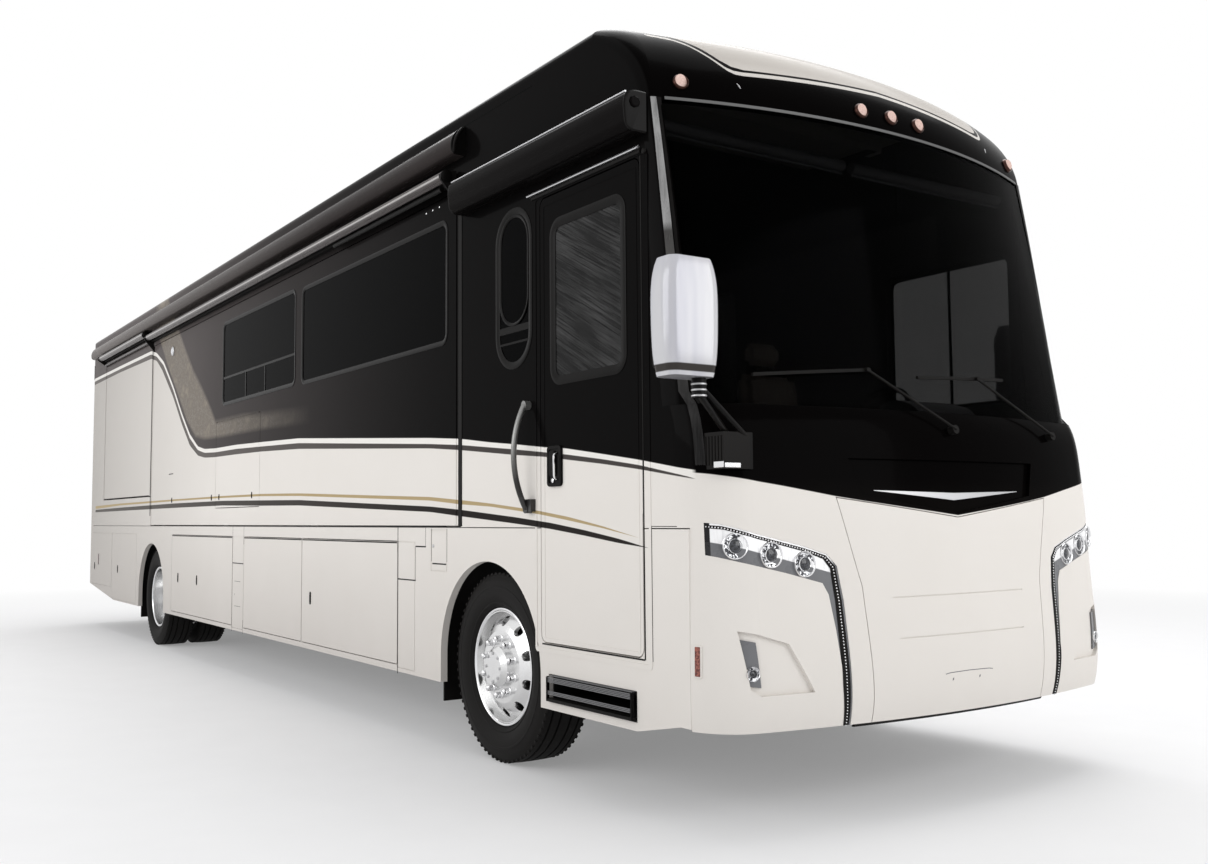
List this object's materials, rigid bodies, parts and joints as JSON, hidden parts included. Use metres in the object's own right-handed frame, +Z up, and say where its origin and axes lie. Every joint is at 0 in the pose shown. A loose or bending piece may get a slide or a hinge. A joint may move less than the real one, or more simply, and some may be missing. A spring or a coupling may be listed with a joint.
{
  "type": "motorhome",
  "caption": "Large rear-engine coach motorhome with slide-out rooms, entry door, baggage doors, engine lid, steered front wheels and dual rear wheels.",
  "frame": {"origin": "on the ground under the middle of the bounding box", "axes": "+X forward, +Y towards the driver's side (left), +Z up"},
  "size_m": [12.25, 3.2054, 3.8599],
  "materials": {
    "body_black": "gloss",
    "body_cream": "gloss",
    "glass": "tinted gloss",
    "lamp": "clear lens",
    "frame_black": "satin",
    "engine_grey": "painted",
    "tyre": "matt",
    "wheel_metal": "polished",
    "trim_black": "matt",
    "awning_metal": "satin",
    "mirror_shell": "gloss",
    "bright": "anodised",
    "floor_wood": "satin",
    "basement_metal": "mill",
    "seat_leather": "soft"
  },
  "bodies": {
    "coach": {"chassis_frame": "frame_black", "engine": "engine_grey", "front_axle": "frame_black", "rear_axle": "frame_black", "floor": "floor_wood", "basement": "basement_metal", "wheel_liners": "trim_black", "right_wall": "body_black", "left_wall": "body_black", "side_glass": "glass", "roof": "body_cream", "front_cap": "body_black", "windshield": "glass", "wipers": "trim_black", "front_fascia": "body_cream", "front_panel": "body_cream", "valance": "trim_black", "front_lamps": "lamp", "rear_cap": "body_cream", "tail_lamps": "lamp", "mirrors": "mirror_shell", "awnings": "awning_metal", "air_conditioners": "body_cream", "grab_handle": "bright", "right_skirt": "body_cream", "left_skirt": "body_cream", "dashboard": "trim_black", "steering_wheel": "trim_black", "front_seats": "seat_leather"},
    "engine_lid": {"engine_door": "body_cream"},
    "entry_door": {"entry_door": "body_black", "entry_door_glass": "glass"},
    "entry_step": {"entry_step": "trim_black"},
    "front_slide_room": {"front_slide": "body_black", "front_slide_glass": "glass", "front_topper": "awning_metal"},
    "tv_door": {"tv_door": "body_black"},
    "rear_slide_room": {"rear_slide": "body_black", "rear_topper": "awning_metal"},
    "steering_knuckle_right": {"right_knuckle": "frame_black"},
    "steering_knuckle_left": {"left_knuckle": "frame_black"},
    "tie_rod": {"tie_rod": "frame_black"},
    "front_wheel_right": {"front_tyre_right": "tyre", "front_rim_right": "wheel_metal"},
    "front_wheel_left": {"front_tyre_left": "tyre", "front_rim_left": "wheel_metal"},
    "rear_wheels_right": {"rear_tyres_right": "tyre", "rear_rims_right": "wheel_metal"},
    "rear_wheels_left": {"rear_tyres_left": "tyre", "rear_rims_left": "wheel_metal"},
    "bay_door_right_front": {"bay_door_right_front": "body_cream"},
    "bay_door_right_middle": {"bay_door_right_middle": "body_cream"},
    "bay_door_right_rear": {"bay_door_right_rear": "body_cream"},
    "bay_door_left_front": {"bay_door_left_front": "body_cream"},
    "bay_door_left_middle": {"bay_door_left_middle": "body_cream"}
  },
  "joints": [
    {"name": "steering_right", "type": "hinge", "parent": "coach", "child": "steering_knuckle_right", "pos_m": [4.145, -1, 0.485], "axis": [0, 0, 1], "range_deg": [-38, 38]},
    {"name": "steering_left", "type": "hinge", "parent": "coach", "child": "steering_knuckle_left", "pos_m": [4.145, 1, 0.485], "axis": [0, 0, 1], "range_deg": [-38, 38]},
    {"name": "tie_rod_eye_right", "type": "hinge", "parent": "steering_knuckle_right", "child": "tie_rod", "pos_m": [3.955, -1, 0.43], "axis": [0, 0, 1], "range_deg": [-38, 38]},
    {"name": "front_wheel_right_spin", "type": "hinge", "parent": "steering_knuckle_right", "child": "front_wheel_right", "pos_m": [4.145, -1.095, 0.485], "axis": [0, 1, 0], "continuous": true},
    {"name": "front_wheel_left_spin", "type": "hinge", "parent": "steering_knuckle_left", "child": "front_wheel_left", "pos_m": [4.145, 1.095, 0.485], "axis": [0, 1, 0], "continuous": true},
    {"name": "rear_wheels_right_spin", "type": "hinge", "parent": "coach", "child": "rear_wheels_right", "pos_m": [-2.925, -0.93, 0.485], "axis": [0, 1, 0], "continuous": true},
    {"name": "rear_wheels_left_spin", "type": "hinge", "parent": "coach", "child": "rear_wheels_left", "pos_m": [-2.925, 0.93, 0.485], "axis": [0, 1, 0], "continuous": true},
    {"name": "entry_door_hinge", "type": "hinge", "parent": "coach", "child": "entry_door", "pos_m": [5.4893, -1.2825, 1.7255], "axis": [0, 0, 1], "range_deg": [0, 95]},
    {"name": "entry_step_slide", "type": "slide", "parent": "coach", "child": "entry_step", "axis": [0, -1, 0], "range_m": [0, 0.25]},
    {"name": "front_slide_travel", "type": "slide", "parent": "coach", "child": "front_slide_room", "axis": [0, -1, 0], "range_m": [0, 0.68]},
    {"name": "rear_slide_travel", "type": "slide", "parent": "coach", "child": "rear_slide_room", "axis": [0, -1, 0], "range_m": [0, 0.55]},
    {"name": "tv_door_hinge", "type": "hinge", "parent": "front_slide_room", "child": "tv_door", "pos_m": [-0.1545, -1.2825, 2.0933], "axis": [-1, 0, 0], "range_deg": [0, 85]},
    {"name": "bay_door_right_front_hinge", "type": "hinge", "parent": "coach", "child": "bay_door_right_front", "pos_m": [3.0183, -1.2825, 0.7535], "axis": [0, 0, 1], "range_deg": [0, 90]},
    {"name": "bay_door_right_middle_hinge", "type": "hinge", "parent": "coach", "child": "bay_door_right_middle", "pos_m": [0.0717, -1.2825, 0.7535], "axis": [0, 0, -1], "range_deg": [0, 90]},
    {"name": "bay_door_right_rear_hinge", "type": "hinge", "parent": "coach", "child": "bay_door_right_rear", "pos_m": [-0.2347, -1.2825, 0.7535], "axis": [0, 0, 1], "range_deg": [0, 90]},
    {"name": "bay_door_left_front_hinge", "type": "hinge", "parent": "coach", "child": "bay_door_left_front", "pos_m": [3.0183, 1.2825, 0.7535], "axis": [0, 0, -1], "range_deg": [0, 90]},
    {"name": "bay_door_left_middle_hinge", "type": "hinge", "parent": "coach", "child": "bay_door_left_middle", "pos_m": [0.0717, 1.2825, 0.7535], "axis": [0, 0, 1], "range_deg": [0, 90]},
    {"name": "engine_lid_hinge", "type": "hinge", "parent": "coach", "child": "engine_lid", "pos_m": [-6.125, 0, 1.7033], "axis": [0, 1, 0], "range_deg": [0, 80]}
  ],
  "couplings": [
    {"joint": "steering_left", "follows": "steering_right", "ratio": 1},
    {"joint": "tie_rod_eye_right", "follows": "steering_right", "ratio": -1}
  ]
}
